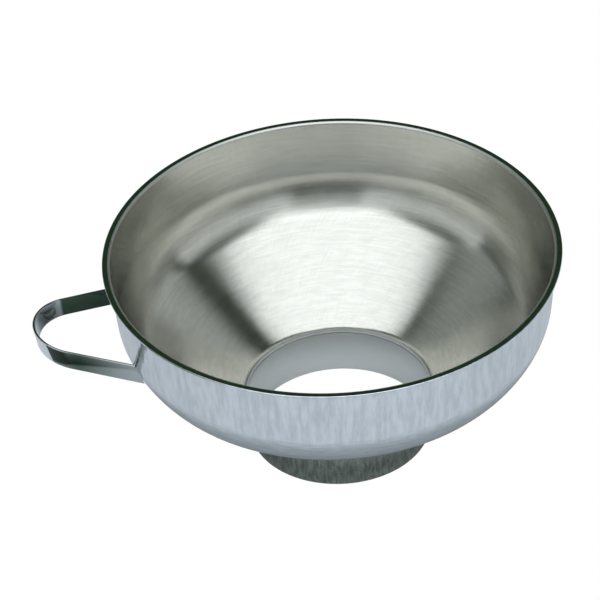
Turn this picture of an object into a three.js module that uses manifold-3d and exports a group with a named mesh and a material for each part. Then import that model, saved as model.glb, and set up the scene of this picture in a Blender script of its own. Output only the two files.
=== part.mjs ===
// A canning funnel in stainless steel: a wide drawn bowl with a turned-out lip, a short tapered
// spout that stands in the mouth of a jar, and a strap handle on one side.
// Millimetres, +Z up. The origin is under the middle of the part, on the surface that it stands on,
// and the handle points along -X.

import * as THREE from 'three';
import { mergeVertices } from 'three/addons/utils/BufferGeometryUtils.js';
import Module from 'manifold-3d';

const wasm = await Module();
wasm.setup();

// Driving dimensions
const HEIGHT = 70;
const RIM_RADIUS = 70;
const SHEET = 0.7;
const JOINT_GAP = 0.3;

// Spout
const SPOUT_FOOT_RADIUS = 28.6;
const SPOUT_TOP_RADIUS = 29.6;
const SPOUT_HEIGHT = 14.1;

// Bowl, as the corners of its outer line before they are rounded
const NECK_RADIUS = 29.7;
const THROAT_Z = 15.6;
const THROAT_BEND = 1.6;
const CONE_FOOT_ANGLE = THREE.MathUtils.degToRad(33.5);
const CONE_TOP_ANGLE = THREE.MathUtils.degToRad(38.5);
const CONE_MIDDLE_RADIUS = 47;
const CONE_BEND = 320;
const SHOULDER_BEND = 22;
const WALL_ANGLE = THREE.MathUtils.degToRad(4.6);
const WALL_TOP_RADIUS = 68.4;
const LIP_BEND = 0.9;
const LIP_EDGE_BEND = 0.25;

// Handle strap. Its loop is given as the centre line halfway up the strap, seen from above. The
// reach is to the upper edge, which leans out at the bend by as much as the lower edge leans in.
const STRAP_WIDTH = 6.4;
const STRAP_SHEET = 0.8;
const STRAP_REACH = 92.9;
const STRAP_LEAN = 0.45;
const STRAP_BEND = 14.2;
const STRAP_SPLAY = THREE.MathUtils.degToRad(19.2);
const STRAP_RISE = THREE.MathUtils.degToRad(7.7);
const STRAP_FOOT_Z = 47;
const STRAP_FOOT_DISTANCE = 66;
const STRAP_UNCUT_END = 53;
const STRAP_BEND_CENTRE = STRAP_REACH - STRAP_LEAN - STRAP_SHEET / 2 - STRAP_BEND;
const STRAP_SWEEP = Math.PI / 2 - STRAP_SPLAY;

const MERGE_DISTANCE = 1e-4;
const TURN_SEGMENTS = 64;
const ARC_STEP = THREE.MathUtils.degToRad(18);
const LOOP_ARC_SEGMENTS = 20;

const steel = {
  bowl: { color: 0xb4b6b4, roughness: 0.3, metalness: 1 },
  spout: { color: 0x9fa3a0, roughness: 0.45, metalness: 1 },
  strap: { color: 0xb0b6b8, roughness: 0.12, metalness: 1 },
};

function corner(radius, height, bend = 0) {
  return { at: new THREE.Vector2(radius, height), bend };
}

// The closed outline through the corners, each rounded to its bend radius.
function roundedOutline(corners) {
  const outline = [];
  corners.forEach(({ at, bend }, i) => {
    const before = corners[(i + corners.length - 1) % corners.length].at;
    const after = corners[(i + 1) % corners.length].at;
    if (bend === 0) {
      outline.push(at.clone());
      return;
    }
    const back = before.clone().sub(at).normalize();
    const ahead = after.clone().sub(at).normalize();
    const halfAngle = Math.acos(back.dot(ahead)) / 2;
    const reach = bend / Math.tan(halfAngle);
    const middle = back.clone().add(ahead).normalize();
    const centre = at.clone().addScaledVector(middle, bend / Math.sin(halfAngle));
    const start = at.clone().addScaledVector(back, reach).sub(centre).angle();
    const end = at.clone().addScaledVector(ahead, reach).sub(centre).angle();
    const clockwise = back.cross(ahead) > 0;
    const arc = new THREE.EllipseCurve(centre.x, centre.y, bend, bend, start, end, clockwise);
    const steps = Math.max(2, Math.ceil((Math.PI - 2 * halfAngle) / ARC_STEP));
    outline.push(...arc.getPoints(steps));
  });
  return outline;
}

// A closed ring turned about the Z axis from a section of (radius, height) points that runs
// anticlockwise, outer side upwards.
function turned(outline) {
  const section = [...outline, outline[0].clone()];
  const ring = new THREE.LatheGeometry(section, TURN_SEGMENTS);
  ring.rotateX(Math.PI / 2);
  return ring;
}

function asSolid(geometry) {
  const bare = geometry.clone();
  bare.deleteAttribute('normal');
  bare.deleteAttribute('uv');
  const merged = mergeVertices(bare, MERGE_DISTANCE);
  return new wasm.Manifold(new wasm.Mesh({
    numProp: 3,
    vertProperties: new Float32Array(merged.attributes.position.array),
    triVerts: new Uint32Array(merged.index.array),
  }));
}

function asGeometry(solid) {
  const mesh = solid.getMesh();
  const geometry = new THREE.BufferGeometry();
  geometry.setAttribute('position', new THREE.BufferAttribute(mesh.vertProperties, 3));
  geometry.setIndex(new THREE.BufferAttribute(mesh.triVerts, 1));
  geometry.computeVertexNormals();
  return geometry;
}

// Where the two slopes of the cone meet, on the outer side of the sheet.
function coneMiddle() {
  const rise = Math.tan(CONE_FOOT_ANGLE) * (CONE_MIDDLE_RADIUS - NECK_RADIUS);
  return new THREE.Vector2(CONE_MIDDLE_RADIUS, THROAT_Z + rise);
}

// Where the line of the cone meets the line of the wall, on the outer side of the sheet.
function shoulderCorner() {
  const middle = coneMiddle();
  const coneSlope = Math.tan(CONE_TOP_ANGLE);
  const wallSlope = Math.tan(WALL_ANGLE);
  const radius = (WALL_TOP_RADIUS + wallSlope * (middle.y - coneSlope * middle.x - HEIGHT))
    / (1 - wallSlope * coneSlope);
  return new THREE.Vector2(radius, middle.y + coneSlope * (radius - middle.x));
}

// The corner on the inner side of a sheet that leans at one angle before an outer corner and at
// another after it.
function insideOf(outer, before, after) {
  const inward = (before + after + Math.PI) / 2;
  const depth = SHEET / Math.cos((after - before) / 2);
  return outer.clone().add(new THREE.Vector2(depth * Math.cos(inward), depth * Math.sin(inward)));
}

// The bowl is one sheet: neck, slightly dished cone, rounded shoulder, nearly upright wall and
// turned-out lip.
function bowlOutline() {
  const neckFoot = SPOUT_HEIGHT + JOINT_GAP;
  const wallLean = Math.PI / 2 - WALL_ANGLE;
  const middle = coneMiddle();
  const shoulder = shoulderCorner();
  const innerThroat = insideOf(
    new THREE.Vector2(NECK_RADIUS, THROAT_Z), Math.PI / 2, CONE_FOOT_ANGLE);
  const innerMiddle = insideOf(middle, CONE_FOOT_ANGLE, CONE_TOP_ANGLE);
  const innerShoulder = insideOf(shoulder, CONE_TOP_ANGLE, wallLean);
  const lipUnderside = HEIGHT - SHEET;
  return roundedOutline([
    corner(NECK_RADIUS, neckFoot),
    corner(NECK_RADIUS, THROAT_Z, THROAT_BEND),
    corner(middle.x, middle.y, CONE_BEND),
    corner(shoulder.x, shoulder.y, SHOULDER_BEND),
    corner(WALL_TOP_RADIUS - SHEET * Math.tan(WALL_ANGLE), lipUnderside, LIP_BEND - SHEET),
    corner(RIM_RADIUS, lipUnderside, LIP_EDGE_BEND),
    corner(RIM_RADIUS, HEIGHT, LIP_EDGE_BEND),
    corner(WALL_TOP_RADIUS - SHEET / Math.cos(WALL_ANGLE), HEIGHT, LIP_BEND),
    corner(innerShoulder.x, innerShoulder.y, SHOULDER_BEND - SHEET),
    corner(innerMiddle.x, innerMiddle.y, CONE_BEND - SHEET),
    corner(innerThroat.x, innerThroat.y, THROAT_BEND + SHEET),
    corner(NECK_RADIUS - SHEET, neckFoot),
  ]);
}

function spoutOutline() {
  return roundedOutline([
    corner(SPOUT_FOOT_RADIUS - SHEET, 0),
    corner(SPOUT_FOOT_RADIUS, 0),
    corner(SPOUT_TOP_RADIUS, SPOUT_HEIGHT),
    corner(SPOUT_TOP_RADIUS - SHEET, SPOUT_HEIGHT),
  ]);
}

// One side of the strap, seen from above: two arms that open towards the bowl, and the round bend
// that joins them. The arms run on past the bowl's wall, to be cut back to it.
function strapSide(offset) {
  const bend = STRAP_BEND + offset;
  const centre = STRAP_BEND_CENTRE;
  const arc = new THREE.EllipseCurve(centre, 0, bend, bend, STRAP_SWEEP, -STRAP_SWEEP, true);
  const side = arc.getPoints(LOOP_ARC_SEGMENTS);
  const spread = side[0].y + (side[0].x - STRAP_UNCUT_END) * Math.tan(STRAP_SPLAY);
  return [
    new THREE.Vector2(STRAP_UNCUT_END, spread),
    ...side,
    new THREE.Vector2(STRAP_UNCUT_END, -spread),
  ];
}

// The strap stands on edge round the loop, rises a little outwards, and its two ends are cut to
// the bowl's outer side.
// Slides the upper edge of the bend outwards and the lower edge inwards. Along the arms the slide
// follows the arm, so they stay upright.
function leanBend(strap) {
  const position = strap.getAttribute('position');
  const slide = STRAP_LEAN / (1 - Math.sin(STRAP_SPLAY));
  const narrowing = slide * Math.sin(STRAP_SPLAY);
  for (let i = 0; i < position.count; i += 1) {
    const x = position.getX(i);
    const y = position.getY(i);
    const side = Math.sign(position.getZ(i));
    const angle = Math.atan2(y, x - STRAP_BEND_CENTRE);
    const turn = THREE.MathUtils.clamp(angle, -STRAP_SWEEP, STRAP_SWEEP);
    position.setX(i, x + side * (slide - narrowing * Math.cos(turn)));
    position.setY(i, y - side * narrowing * Math.sin(turn));
  }
}

function strapGeometry(bowlCore) {
  const outer = strapSide(STRAP_SHEET / 2);
  const inner = strapSide(-STRAP_SHEET / 2);
  const plan = new THREE.Shape([...outer, ...inner.reverse()]);
  const strap = new THREE.ExtrudeGeometry(plan, { depth: STRAP_WIDTH, bevelEnabled: false });
  const rise = Math.tan(STRAP_RISE);
  strap.translate(0, 0, -STRAP_WIDTH / 2);
  leanBend(strap);
  strap.applyMatrix4(new THREE.Matrix4().makeShear(0, rise, 0, 0, 0, 0));
  strap.translate(0, 0, STRAP_FOOT_Z - rise * STRAP_FOOT_DISTANCE);
  strap.rotateZ(Math.PI);
  return asGeometry(asSolid(strap).subtract(bowlCore));
}

// A solid of the bowl's outer shape above the throat, larger by the gap, which trims the strap's ends.
function bowlCoreSolid() {
  const middle = coneMiddle();
  const shoulder = shoulderCorner();
  const core = roundedOutline([
    corner(0, THROAT_Z),
    corner(NECK_RADIUS + JOINT_GAP, THROAT_Z),
    corner(middle.x + JOINT_GAP, middle.y - JOINT_GAP, CONE_BEND),
    corner(shoulder.x + JOINT_GAP, shoulder.y - JOINT_GAP, SHOULDER_BEND + JOINT_GAP),
    corner(WALL_TOP_RADIUS + JOINT_GAP, HEIGHT),
    corner(0, HEIGHT),
  ]);
  const body = new THREE.LatheGeometry(core, TURN_SEGMENTS);
  body.rotateX(Math.PI / 2);
  return asSolid(body);
}

function piece(name, geometry, finish) {
  const mesh = new THREE.Mesh(geometry, new THREE.MeshStandardMaterial(finish));
  mesh.name = name;
  return mesh;
}

const funnel = new THREE.Group();
funnel.add(piece('bowl', turned(bowlOutline()), steel.bowl));
funnel.add(piece('spout', turned(spoutOutline()), steel.spout));
funnel.add(piece('handle_strap', strapGeometry(bowlCoreSolid()), steel.strap));

// The funnel's axis stands off the middle by half of what the handle adds.
funnel.position.x = (STRAP_REACH - RIM_RADIUS) / 2;

export default funnel;
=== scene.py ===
import math

import bpy
from mathutils import Matrix, Vector


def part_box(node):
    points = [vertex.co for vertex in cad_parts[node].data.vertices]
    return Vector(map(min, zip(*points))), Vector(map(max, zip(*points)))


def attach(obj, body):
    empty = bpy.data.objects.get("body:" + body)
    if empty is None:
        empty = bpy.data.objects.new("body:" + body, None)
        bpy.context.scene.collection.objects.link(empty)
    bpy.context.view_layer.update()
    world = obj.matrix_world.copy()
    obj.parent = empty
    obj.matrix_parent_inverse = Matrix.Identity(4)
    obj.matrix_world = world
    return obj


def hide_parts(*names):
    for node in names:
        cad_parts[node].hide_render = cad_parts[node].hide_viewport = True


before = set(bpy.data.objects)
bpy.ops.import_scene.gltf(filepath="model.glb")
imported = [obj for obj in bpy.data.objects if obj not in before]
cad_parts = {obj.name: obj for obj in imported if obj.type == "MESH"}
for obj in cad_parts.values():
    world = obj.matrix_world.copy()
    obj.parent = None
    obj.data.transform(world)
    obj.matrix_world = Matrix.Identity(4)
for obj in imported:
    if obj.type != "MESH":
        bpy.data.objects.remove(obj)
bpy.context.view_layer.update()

MM = 0.001

# The funnel's own sizes, from the frame
bowl_low, bowl_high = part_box("bowl")
spout_low, spout_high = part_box("spout")
strap_low, strap_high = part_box("handle_strap")
AXIS_X = (bowl_low.x + bowl_high.x) / 2
RIM_RADIUS = (bowl_high.x - bowl_low.x) / 2
RIM_HEIGHT = bowl_high.z
NECK_FOOT = bowl_low.z
SPOUT_TOP = spout_high.z
SPOUT_TOP_RADIUS = (spout_high.x - spout_low.x) / 2
STRAP_REACH = AXIS_X - strap_low.x

# Sheet sizes that the frame doesn't give
SHEET = 0.7 * MM
SPOUT_FOOT_RADIUS = 28.6 * MM
NECK_RADIUS = 29.7 * MM
THROAT_HEIGHT = 15.6 * MM
THROAT_BEND = 1.6 * MM
CONE_FOOT_ANGLE = math.radians(33.5)
CONE_TOP_ANGLE = math.radians(38.5)
CONE_MIDDLE_RADIUS = 47 * MM
CONE_BEND = 320 * MM
SHOULDER_BEND = 22 * MM
WALL_ANGLE = math.radians(4.6)
WALL_TOP_RADIUS = 68.4 * MM
LIP_BEND = 0.9 * MM
LIP_EDGE = 0.25 * MM
SPOUT_EDGE = 0.15 * MM
RING_SIDES = 256

# A point this near to a place is on it, and points this close together become one
NEAR = 0.02 * MM
MERGED = 0.01 * MM

# Creases up to this are shaded smooth, and edges of the strap past this are rounded
SMOOTHED = math.radians(40)
SHARP = math.radians(60)

# Handle strap
STRAP_WIDTH = 6.4 * MM
STRAP_SHEET = 0.8 * MM
STRAP_EDGE = 0.3 * MM
STRAP_LEAN = 0.45 * MM
STRAP_BEND = 14.2 * MM
STRAP_SPLAY = math.radians(19.2)
STRAP_RISE = math.radians(7.7)
STRAP_FOOT_HEIGHT = 47 * MM
STRAP_FOOT_DISTANCE = 66 * MM
STRAP_UNCUT_END = 56 * MM
STRAP_BEND_CENTRE = STRAP_REACH - STRAP_LEAN - STRAP_SHEET / 2 - STRAP_BEND
STRAP_BEND_X = AXIS_X - STRAP_BEND_CENTRE
STRAP_SWEEP = math.pi / 2 - STRAP_SPLAY
STRAP_STEPS = 48
STRAP_BEND_MARGIN = math.radians(1)

# The view stands a little to the handle's side of the front, about 956 mm away
VIEW_TURN = math.radians(-4.84)
VIEW_ELEVATION = math.radians(38.005)
VIEW_ROLL = math.radians(-3.425)
VIEW_PLACE = Vector((-10.48, -727.84, 619.93)) * MM
VIEW_LENS = 180
VIEW_SENSOR = 36

# The studio
FLOOR_SIDE = 8
FLOOR_DROP = 0.2 * MM
WHITE = (1, 1, 1, 1)
SOFT_BOX_TINT = (1.0, 1.02, 1.08, 1)
DARK_ROOM = (0.023, 0.043, 0.021, 1)
OVERHEAD_LIGHT = 1.75
FLANK_LIGHT = 0.85
RIGHT_CARD_LIGHT = 0.55
LEFT_CARD_LIGHT = 0.4
FRONT_CARD_LIGHT = 0.5
SWEEP_LIGHT = 0.4


# ---------------------------------------------------------------- modelling by hand

def choose(piece):
    bpy.ops.object.select_all(action="DESELECT")
    piece.select_set(True)
    bpy.context.view_layer.objects.active = piece


def edit(piece):
    choose(piece)
    bpy.ops.object.mode_set(mode="EDIT")
    bpy.ops.mesh.select_all(action="DESELECT")


def leave_edit():
    bpy.ops.object.mode_set(mode="OBJECT")


def pick(piece, test, kind="VERT"):
    """Selects the vertices, edges or faces of the piece, open in edit mode, that pass the test."""
    leave_edit()
    mesh = piece.data
    for face in mesh.polygons:
        face.select = kind == "FACE" and test(face)
    for edge in mesh.edges:
        ends = [mesh.vertices[v].co for v in edge.vertices]
        edge.select = kind == "EDGE" and test(ends)
    for vertex in mesh.vertices:
        vertex.select = kind == "VERT" and test(vertex.co)
    bpy.ops.object.mode_set(mode="EDIT")
    bpy.ops.mesh.select_mode(type=kind)


def start_piece(name):
    """Names the primitive just added, puts its place in its mesh and opens it in edit mode."""
    piece = bpy.context.object
    piece.name = piece.data.name = name
    choose(piece)
    bpy.ops.object.transform_apply(location=True, rotation=True, scale=True)
    edit(piece)
    return piece


def finish_piece(piece, node, finishes):
    choose(piece)
    bpy.ops.object.shade_smooth_by_angle(angle=SMOOTHED)
    for finish in finishes:
        piece.data.materials.append(finish)
    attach(piece, "root")
    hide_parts(node)


def from_axis(point):
    return math.hypot(point.x - AXIS_X, point.y)


def faces_outward(face):
    return face.normal.x * (face.center.x - AXIS_X) + face.normal.y * face.center.y > 0


# ---------------------------------------------------------------- bowl and spout

def turned_piece(name, corners):
    """A closed ring round the funnel's axis. A circle is grown by extruding it through the corners of
    the sheet's section and back to its start, and each corner is then bevelled to its bend.
    A corner is (radius, height, bend radius, bevel segments)."""
    first = corners[0]
    bpy.ops.mesh.primitive_circle_add(
        vertices=RING_SIDES, radius=first[0], location=(AXIS_X, 0, first[1]))
    piece = start_piece(name)
    bpy.ops.mesh.select_all(action="SELECT")
    for old, new in zip(corners, corners[1:] + corners[:1]):
        bpy.ops.mesh.extrude_edges_move(
            TRANSFORM_OT_translate={"value": (0, 0, new[1] - old[1])})
        widen = new[0] / old[0]
        bpy.ops.transform.resize(value=(widen, widen, 1), center_override=(AXIS_X, 0, new[1]))
    bpy.ops.mesh.select_all(action="SELECT")
    bpy.ops.mesh.remove_doubles(threshold=MERGED)
    bpy.ops.mesh.normals_make_consistent(inside=False)
    for index, corner in enumerate(corners):
        if corner[2]:
            bend_corner(piece, corners, index)
    leave_edit()
    return piece


def bend_corner(piece, corners, index):
    radius, height, bend, segments = corners[index]
    corner = Vector((radius, height))
    before = Vector(corners[index - 1][:2]) - corner
    after = Vector(corners[(index + 1) % len(corners)][:2]) - corner
    pick(piece, lambda ends: all(
        abs(from_axis(point) - radius) < NEAR and abs(point.z - height) < NEAR
        for point in ends), "EDGE")
    bpy.ops.mesh.bevel(
        offset=bend / math.tan(before.angle(after) / 2), offset_type="OFFSET", segments=segments,
        profile=0.5, affect="EDGES", clamp_overlap=False)


def cone_middle():
    """Where the two slopes of the slightly dished cone meet, on the outer side of the sheet."""
    rise = math.tan(CONE_FOOT_ANGLE) * (CONE_MIDDLE_RADIUS - NECK_RADIUS)
    return Vector((CONE_MIDDLE_RADIUS, THROAT_HEIGHT + rise))


def shoulder_corner():
    """Where the cone's line meets the wall's, on the outer side of the sheet."""
    middle = cone_middle()
    cone = math.tan(CONE_TOP_ANGLE)
    wall = math.tan(WALL_ANGLE)
    radius = (WALL_TOP_RADIUS + wall * (middle.y - cone * middle.x - RIM_HEIGHT)) / (1 - wall * cone)
    return Vector((radius, middle.y + cone * (radius - middle.x)))


def inside_of(outer, before, after):
    """The inner corner of a sheet that leans at one angle before an outer corner, another after."""
    inward = (before + after + math.pi) / 2
    return outer + SHEET / math.cos((after - before) / 2) * Vector((math.cos(inward), math.sin(inward)))


def bowl_corners():
    """Up the outer side from the neck to the lip, and down the inner side."""
    lean = math.pi / 2 - WALL_ANGLE
    throat = Vector((NECK_RADIUS, THROAT_HEIGHT))
    middle = cone_middle()
    shoulder = shoulder_corner()
    inner_throat = inside_of(throat, math.pi / 2, CONE_FOOT_ANGLE)
    inner_middle = inside_of(middle, CONE_FOOT_ANGLE, CONE_TOP_ANGLE)
    inner_shoulder = inside_of(shoulder, CONE_TOP_ANGLE, lean)
    underside = RIM_HEIGHT - SHEET
    return [
        (NECK_RADIUS, NECK_FOOT, 0, 0),
        (*throat, THROAT_BEND, 6),
        (*middle, CONE_BEND, 8),
        (*shoulder, SHOULDER_BEND, 24),
        (WALL_TOP_RADIUS - math.tan(WALL_ANGLE) * SHEET, underside, LIP_BEND - SHEET, 3),
        (RIM_RADIUS, underside, LIP_EDGE, 3),
        (RIM_RADIUS, RIM_HEIGHT, LIP_EDGE, 4),
        (WALL_TOP_RADIUS - SHEET / math.cos(WALL_ANGLE), RIM_HEIGHT, LIP_BEND, 10),
        (*inner_shoulder, SHOULDER_BEND - SHEET, 24),
        (*inner_middle, CONE_BEND - SHEET, 8),
        (*inner_throat, THROAT_BEND + SHEET, 8),
        (NECK_RADIUS - SHEET, NECK_FOOT, 0, 0),
    ]


def spout_corners():
    """Round the section of the tapered sleeve, from the inner side of its foot."""
    return [
        (SPOUT_FOOT_RADIUS - SHEET, 0, SPOUT_EDGE, 3),
        (SPOUT_FOOT_RADIUS, 0, SPOUT_EDGE, 3),
        (SPOUT_TOP_RADIUS, SPOUT_TOP, SPOUT_EDGE, 2),
        (SPOUT_TOP_RADIUS - SHEET, SPOUT_TOP, SPOUT_EDGE, 2),
    ]


def make_bowl():
    """Polished outside, brushed on the cone, shoulder and wall, matte in the throat and on the lip's
    inner bend."""
    piece = turned_piece("funnel_bowl", bowl_corners())
    finish_piece(piece, "bowl", [polished_outside(), satin_inside(), matte_throat()])
    for face in piece.data.polygons:
        if not faces_outward(face) and face.center.z < RIM_HEIGHT - MERGED:
            brushed = THROAT_HEIGHT < face.center.z < RIM_HEIGHT - LIP_BEND
            face.material_index = 1 if brushed else 2


def make_spout():
    """Mottled outside and matte inside."""
    piece = turned_piece("jar_spout", spout_corners())
    finish_piece(piece, "spout", [mottled_spout(), matte_throat()])
    for face in piece.data.polygons:
        if not faces_outward(face):
            face.material_index = 1


# ---------------------------------------------------------------- handle

def strap_height(x):
    """Height of the strap's middle line, which rises away from the bowl."""
    return STRAP_FOOT_HEIGHT + (AXIS_X - x - STRAP_FOOT_DISTANCE) * math.tan(STRAP_RISE)


def bend_point(turned):
    """Where the strap's middle line is after this much of the bend, starting at the near arm."""
    angle = STRAP_SWEEP - turned
    return Vector((STRAP_BEND_X - STRAP_BEND * math.cos(angle), -STRAP_BEND * math.sin(angle)))


def extrude_strap(old, new):
    rise = strap_height(new.x) - strap_height(old.x)
    bpy.ops.mesh.extrude_edges_move(
        TRANSFORM_OT_translate={"value": (new.x - old.x, new.y - old.y, rise)})


def make_strap():
    """A flat ribbon is laid along the loop at the strap's lower edge, one arm, the bend and the other
    arm, then raised to the strap's width. Its edges are rounded and its ends cut to the bowl."""
    heading = math.pi - STRAP_SPLAY
    along = Vector((math.cos(heading), math.sin(heading)))
    route = [bend_point(2 * STRAP_SWEEP * step / STRAP_STEPS) for step in range(STRAP_STEPS + 1)]
    arm = (route[0].x - AXIS_X + STRAP_UNCUT_END) / along.x
    middle = route[0] - arm / 2 * along
    slope = math.atan(math.tan(STRAP_RISE) * math.cos(STRAP_SPLAY))
    bpy.ops.mesh.primitive_plane_add(
        size=1, location=(*middle, strap_height(middle.x) - STRAP_WIDTH / 2),
        rotation=(0, -slope, heading))
    bpy.context.object.scale = (arm / math.cos(slope), STRAP_SHEET, 1)
    piece = start_piece("loop_handle")
    pick(piece, lambda ends: all(abs(point.x - route[0].x) < STRAP_SHEET for point in ends), "EDGE")
    for old, new in zip(route, route[1:]):
        extrude_strap(old, new)
        bpy.ops.transform.rotate(value=2 * STRAP_SWEEP / STRAP_STEPS, orient_axis="Z",
                                 center_override=(*new, strap_height(new.x)))
    extrude_strap(route[-1], route[-1] - arm * Vector((along.x, -along.y)))
    bpy.ops.mesh.select_all(action="SELECT")
    bpy.ops.mesh.extrude_region_move(TRANSFORM_OT_translate={"value": (0, 0, STRAP_WIDTH)})
    for side in (1, -1):
        lean_bend(piece, side)
    bpy.ops.mesh.select_all(action="SELECT")
    bpy.ops.mesh.normals_make_consistent(inside=False)
    bpy.ops.mesh.select_all(action="DESELECT")
    bpy.ops.mesh.select_mode(type="EDGE")
    bpy.ops.mesh.edges_select_sharp(sharpness=SHARP)
    bpy.ops.mesh.bevel(affect="EDGES", offset=STRAP_EDGE, segments=4, clamp_overlap=False)
    for side in (-1, 1):
        cut_to_wall(piece, side)
    leave_edit()
    finish_piece(piece, "handle_strap", [polished_strap()])


def lean_bend(piece, side):
    """Slides the upper edge of the bend outwards (side 1) or the lower edge inwards (side -1), so
    that the bend leans out while the arms stay upright."""
    pick(piece, lambda point: (point.z - strap_height(point.x)) * side > 0
         and abs(math.atan2(point.y, STRAP_BEND_X - point.x)) < STRAP_SWEEP + STRAP_BEND_MARGIN)
    slide = side * STRAP_LEAN / (1 - math.sin(STRAP_SPLAY))
    narrowed = 1 - slide * math.sin(STRAP_SPLAY) / STRAP_BEND
    bpy.ops.transform.resize(value=(narrowed, narrowed, 1), center_override=(STRAP_BEND_X, 0, 0))
    bpy.ops.transform.translate(value=(-slide, 0, 0))


def cut_to_wall(piece, side):
    """Cuts the end of one arm of the strap to a plane halfway through the sheet of the shoulder."""
    shoulder = shoulder_corner()
    half_turn = (math.pi / 2 - WALL_ANGLE - CONE_TOP_ANGLE) / 2
    tangent = shoulder + SHOULDER_BEND * math.tan(half_turn) * Vector(
        (math.sin(WALL_ANGLE), math.cos(WALL_ANGLE)))
    centre = tangent + SHOULDER_BEND * Vector((-math.cos(WALL_ANGLE), math.sin(WALL_ANGLE)))
    lean = math.asin((centre.y - STRAP_FOOT_HEIGHT) / SHOULDER_BEND)
    radius = centre.x + SHOULDER_BEND * math.cos(lean)
    arm_distance = STRAP_BEND_CENTRE * math.sin(STRAP_SPLAY) + STRAP_BEND
    turn = math.asin(arm_distance / radius) - STRAP_SPLAY
    outward = Vector((-math.cos(turn), side * math.sin(turn), 0))
    normal = outward * math.cos(lean) - Vector((0, 0, math.sin(lean)))
    point = Vector((AXIS_X, 0, STRAP_FOOT_HEIGHT)) + outward * radius - normal * SHEET / 2
    pick(piece, lambda face: face.center.y * side > 0, "FACE")
    bpy.ops.mesh.bisect(plane_co=point, plane_no=normal, use_fill=True, clear_inner=True)


# ---------------------------------------------------------------- shader nodes

class Flow:
    """A shader socket that ordinary arithmetic builds Math nodes on."""

    def __init__(self, shader, socket):
        self.shader = shader
        self.socket = socket

    def _math(self, operation, *values):
        return self.shader.node("ShaderNodeMath", {"operation": operation}, *values)

    def __add__(self, other):
        return self._math("ADD", self, other)

    def __radd__(self, other):
        return self._math("ADD", other, self)

    def __sub__(self, other):
        return self._math("SUBTRACT", self, other)

    def __rsub__(self, other):
        return self._math("SUBTRACT", other, self)

    def __mul__(self, other):
        return self._math("MULTIPLY", self, other)

    def __rmul__(self, other):
        return self._math("MULTIPLY", other, self)

    def __truediv__(self, other):
        return self._math("DIVIDE", self, other)

    def __rtruediv__(self, other):
        return self._math("DIVIDE", other, self)

    def __pow__(self, other):
        return self._math("POWER", self, other)

    def __rpow__(self, other):
        return self._math("POWER", other, self)

    def __abs__(self):
        return self._math("ABSOLUTE", self)


class Shader:
    """The node tree of a material or of the surroundings, emptied, and the one way to add to it."""

    def __init__(self, owner):
        owner.use_nodes = True
        self.owner = owner
        self.tree = owner.node_tree
        self.tree.nodes.clear()

    def node(self, kind, settings, *values, out=0, **named):
        """Adds a node and fills its sockets, first in their order and then by their identifiers. A
        Flow is linked and anything else is set. The output asked for comes back as a Flow."""
        made = self.tree.nodes.new(kind)
        for key, value in settings.items():
            setattr(made, key, value)
        inputs = {socket.identifier: socket for socket in made.inputs}
        for socket, value in [*zip(made.inputs, values), *((inputs[key], named[key]) for key in named)]:
            if isinstance(value, Flow):
                self.tree.links.new(value.socket, socket)
            else:
                socket.default_value = value
        return Flow(self, made.outputs[out]) if made.outputs else None


def split(vector):
    """The three parts of a vector."""
    return [vector.shader.node("ShaderNodeSeparateXYZ", {}, vector, out=part) for part in "XYZ"]


def on_piece(shader):
    """Where a point of the piece is, in metres."""
    return split(shader.node("ShaderNodeTexCoord", {}, out="Object"))


def round_the_axis(shader):
    """Distance from the funnel's axis, the way round it in metres at the rim, and the height."""
    x, y, z = on_piece(shader)
    x = x - AXIS_X
    radius = (x * x + y * y) ** 0.5
    angle = shader.node("ShaderNodeMath", {"operation": "ARCTAN2"}, y, x)
    return radius, angle * RIM_RADIUS, z


def noise(x, y, z, detail=2.0, roughness=0.5):
    """Noise about 1 unit coarse, stretched by the scales that its coordinates are given."""
    place = x.shader.node("ShaderNodeCombineXYZ", {}, x, y, z)
    return x.shader.node("ShaderNodeTexNoise", {}, Vector=place, Scale=1.0, Detail=detail,
                         Roughness=roughness)


def between(value, low, high, bottom=0.0, top=1.0):
    """bottom below low, top above high and smooth in between."""
    return value.shader.node("ShaderNodeMapRange", {"interpolation_type": "SMOOTHSTEP"},
                             value, low, high, bottom, top)


def fading(value, low, high):
    """1 below low, 0 above high and smooth in between."""
    return between(value, low, high, 1.0, 0.0)


def band(value, start, full, end, gone):
    """1 from full to end, and 0 before start and past gone."""
    return between(value, start, full) * fading(value, end, gone)


def blend(factor, first, second):
    """A colour between two others. The Mix node's third output is its colour."""
    return factor.shader.node("ShaderNodeMix", {"data_type": "RGBA"}, factor, out=2, A_Color=first,
                              B_Color=second)


def bump(height, strength, distance):
    return height.shader.node("ShaderNodeBump", {}, strength, distance, Height=height)


def seen_directly(shader):
    """1 where the camera looks straight at a thing, and 0 in what the steel mirrors of it."""
    return shader.node("ShaderNodeLightPath", {})


# ---------------------------------------------------------------- steel finishes

def new_finish(name):
    return Shader(bpy.data.materials.new(name))


def steel(finish, tone, roughness, **more):
    """Covers a finish's surface with bare metal and gives its material."""
    surface = finish.node("ShaderNodeBsdfPrincipled", {}, Metallic=1.0, Roughness=roughness,
                          **{"Base Color": tone}, **more)
    finish.node("ShaderNodeOutputMaterial", {}, surface)
    return finish.owner


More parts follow.
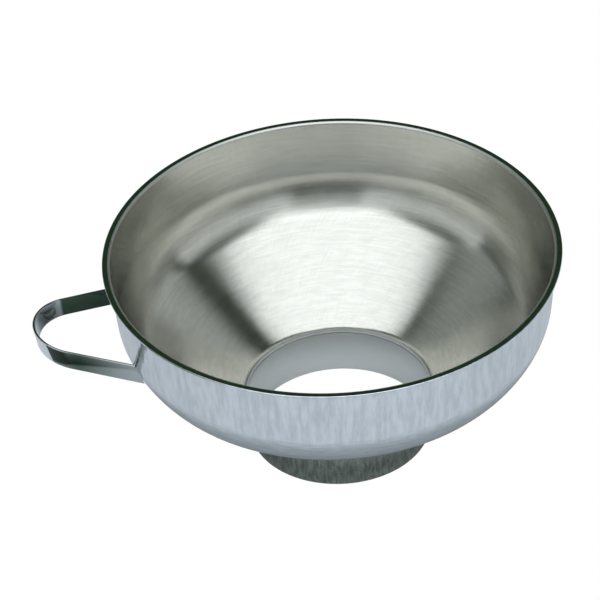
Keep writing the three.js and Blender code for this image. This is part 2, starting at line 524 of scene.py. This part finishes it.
def satin_inside():
    """Satin brushed round the axis, with finer cross scratches and faint handling marks. The
    brushing spreads its highlights across the marks, up and down the wall."""
    finish = new_finish("satin_brushed_inside")
    radius, way, z = round_the_axis(finish)
    rings = noise(radius / (0.25 * MM), z / (0.25 * MM), way / (25 * MM), 3.0)
    strokes = noise(radius / (1.1 * MM), z / (1.1 * MM), way / (9 * MM), 3.0)
    marks = noise(way / (6 * MM), radius / (7 * MM), z / (7 * MM), 3.0)
    scratches = noise((way + radius) / (0.5 * MM), (way - radius) / (12 * MM), z / (4 * MM))
    grain = between(rings * 0.35 + strokes * 0.4 + scratches * 0.25, 0.3, 0.7)
    relief = rings * 0.6 + strokes * 0.6 + scratches * 0.2
    return steel(finish, blend(grain, (0.47, 0.475, 0.435, 1), (0.57, 0.575, 0.53, 1)),
                 0.14 + rings * 0.08 + marks * 0.06, Normal=bump(relief, 0.12, 0.02 * MM),
                 Anisotropic=0.8, **{"Anisotropic Rotation": 0.25})


def polished_outside():
    """Polished over the faint upright ripples that drawing leaves, which lie down on the shoulder."""
    finish = new_finish("polished_outside")
    radius, way, z = round_the_axis(finish)
    upright = noise(way / (1.7 * MM), z / (9 * MM), radius / (9 * MM), 2.0, 0.6)
    lying = noise(way / (5 * MM), z / (1.1 * MM), radius / (1.6 * MM), 2.0, 0.6)
    ripple = lying + (upright - lying) * between(z, 44 * MM, 54 * MM)
    return steel(finish, blend(between(ripple, 0.3, 0.7), (0.54, 0.57, 0.60, 1), (0.68, 0.71, 0.74, 1)),
                 0.05 + ripple * 0.06, Normal=bump(ripple, 0.5, 0.12 * MM))


def mottled_spout():
    """Matte drawn steel with dark and light blotches that run down the spout a little. Its low,
    greenish tone is painted shade, standing in for the shaded floor under the bowl that the spout
    mirrors.
    """
    finish = new_finish("mottled_spout")
    radius, way, z = round_the_axis(finish)
    blotches = noise(way / (2.2 * MM), z / (4 * MM), radius / (4 * MM), 4.0, 0.65)
    grain = noise(way / (0.5 * MM), z / (0.5 * MM), radius / (0.5 * MM))
    mottle = between(blotches * 0.8 + grain * 0.2, 0.35, 0.65)
    # Painted shade: both tones are set well below bare steel, for the shaded floor that the spout
    # mirrors
    return steel(finish, blend(mottle, (0.21, 0.235, 0.20, 1), (0.43, 0.46, 0.41, 1)),
                 0.30 + blotches * 0.2, Normal=bump(grain, 0.25, 0.05 * MM))


def matte_throat():
    """Fine matte steel, a little brushed round."""
    finish = new_finish("matte_throat")
    radius, way, z = round_the_axis(finish)
    rings = noise(z / (0.3 * MM), way / (14 * MM), radius / (14 * MM), 3.0)
    return steel(finish, blend(rings, (0.51, 0.52, 0.505, 1), (0.62, 0.63, 0.615, 1)),
                 0.36 + rings * 0.12, Normal=bump(rings, 0.2, 0.03 * MM))


def polished_strap():
    """Rolled strip with faint lines along it, bright on its bend. The dark tone of its two arms isn't
    the steel's own: it is a painted reflection of dark surroundings that the studio doesn't give them."""
    finish = new_finish("polished_strap")
    x, y, z = on_piece(finish)
    height = z + x * math.tan(STRAP_RISE)
    lines = noise(height / (0.25 * MM), x / (30 * MM), y / (30 * MM))
    bright = blend(lines, (0.62, 0.65, 0.66, 1), (0.72, 0.75, 0.77, 1))
    # Painted reflection: the arms' base colour is darkened to the dark green of surroundings they
    # mirror, less so at the near arm's weld
    far_arm_painted_reflection = between(y, 12.2 * MM, 12.8 * MM)
    near_arm_painted_reflection = fading(y, -15 * MM, -9 * MM) * between(x, -72 * MM, -50 * MM, 1.0, 0.45)
    return steel(finish, blend(far_arm_painted_reflection + near_arm_painted_reflection, bright, (0.07, 0.11, 0.08, 1)),
                 0.03 + lines * 0.05)


# ---------------------------------------------------------------- floor, light and camera

def shine(shader, colour, strength):
    return shader.node("ShaderNodeBackground", {}, colour, strength)


def studio_world():
    """What the steel mirrors: soft boxes in a dark room. Each is bounded by the parts of a direction
    seen from the camera's side, x to the right, y away and z up. The backdrop itself shows white."""
    world = bpy.data.worlds.new("studio")
    bpy.context.scene.world = world
    shader = Shader(world)
    turned = shader.node("ShaderNodeVectorRotate", {"rotation_type": "Z_AXIS"},
                         shader.node("ShaderNodeTexCoord", {}), Angle=-VIEW_TURN)
    x, y, z = split(turned)
    aside = abs(x)
    just_above_level = z + 0.001
    slope = aside / just_above_level
    back = y / just_above_level

    # A long box overhead, from well in front to a little behind, and less far behind at its sides
    overhead = (fading(slope, 0.76, 0.84) * between(back, -1.35, -1.2)
                * fading(back * (1.0 + slope * 2.5), 0.34, 0.62) * between(z, 0.05, 0.15))
    # Low ones at both front sides
    flanks = band(z, 0.0, 0.1, 0.46, 0.58) * fading(y, -0.02, 0.06) * between(aside, 0.25, 0.4)
    # Cards that stand to the right and behind, to the left, and in front
    right_card = band(z, 0.26, 0.34, 0.6, 0.66) * between(x, 0.58, 0.68) * between(y, 0.1, 0.2)
    left_card = band(z, 0.4, 0.5, 0.68, 0.74) * fading(x, -0.68, -0.62) * between(y, -0.06, 0.02)
    front_card = band(z, 0.26, 0.34, 0.72, 0.8) * fading(aside, 0.3, 0.42) * fading(y, -0.4, -0.3)
    # A pale strip low behind the funnel
    sweep = (between(y, -0.1, 0.8, 0.25, 1.0) * between(y, -0.1, 0.1)
             * band(z, -0.02, 0.02, 0.12, 0.2))

    soft = shine(shader, SOFT_BOX_TINT,
                 overhead * OVERHEAD_LIGHT + flanks * FLANK_LIGHT + sweep * SWEEP_LIGHT
                 + right_card * RIGHT_CARD_LIGHT + left_card * LEFT_CARD_LIGHT
                 + front_card * FRONT_CARD_LIGHT)
    mirrored = shader.node("ShaderNodeAddShader", {}, soft, shine(shader, DARK_ROOM, 1.0))
    shown = shader.node("ShaderNodeMixShader", {}, seen_directly(shader), mirrored,
                        shine(shader, WHITE, 1.0))
    shader.node("ShaderNodeOutputWorld", {}, shown)


def stage_floor():
    """A white floor. What the steel mirrors of it has painted shade under the bowl and a painted dark
    patch past the handle.
    """
    bpy.ops.mesh.primitive_plane_add(size=FLOOR_SIDE, location=(0, 0, -FLOOR_DROP))
    floor = bpy.context.object
    floor.name = "pale_floor"
    finish = new_finish("pale_floor")
    radius, way, _ = round_the_axis(finish)
    # Painted shade: the floor that the steel mirrors is darkened under the bowl, where its shadow
    # falls, and past the handle
    under = between(radius, 30 * MM, 31 * MM) * between(radius, 60 * MM, 95 * MM, 0.35, 0.0)
    painted_shade_past_handle = between(radius, 122 * MM, 130 * MM) * fading(way / RIM_RADIUS, -2.75, -2.4)
    tone = blend(under + painted_shade_past_handle, (0.80, 0.84, 0.87, 1), (0.05, 0.07, 0.06, 1))
    mirrored = finish.node("ShaderNodeBsdfPrincipled", {}, Roughness=0.6, **{"Base Color": tone})
    glow = finish.node("ShaderNodeEmission", {}, WHITE, 1.0)
    shown = finish.node("ShaderNodeMixShader", {}, seen_directly(finish), mirrored, glow)
    finish.node("ShaderNodeOutputMaterial", {}, shown)
    floor.data.materials.append(finish.owner)


def camera():
    """Looks down on the funnel, tilted a little to one side."""
    right = Vector((1, 0, 0))
    up = Vector((0, math.sin(VIEW_ELEVATION), math.cos(VIEW_ELEVATION)))
    view = Matrix.Identity(4)
    view.col[0][:3] = math.cos(VIEW_ROLL) * right + math.sin(VIEW_ROLL) * up
    view.col[1][:3] = math.cos(VIEW_ROLL) * up - math.sin(VIEW_ROLL) * right
    view.col[2][:3] = right.cross(up)
    view.col[3][:3] = VIEW_PLACE
    data = bpy.data.cameras.new("camera")
    data.sensor_width = VIEW_SENSOR
    data.lens = VIEW_LENS
    data.clip_start = 0.05
    data.clip_end = 50
    stand = bpy.data.objects.new("camera", data)
    bpy.context.scene.collection.objects.link(stand)
    turn = Matrix.Rotation(VIEW_TURN, 4, "Z")
    stand.matrix_world = Matrix.Translation((AXIS_X, 0, 0)) @ turn @ view
    bpy.context.scene.camera = stand


# ---------------------------------------------------------------- the funnel in its studio

bpy.ops.object.select_all(action="DESELECT")
make_bowl()
make_spout()
make_strap()
stage_floor()
studio_world()
camera()
bpy.context.scene.view_settings.view_transform = "Standard"
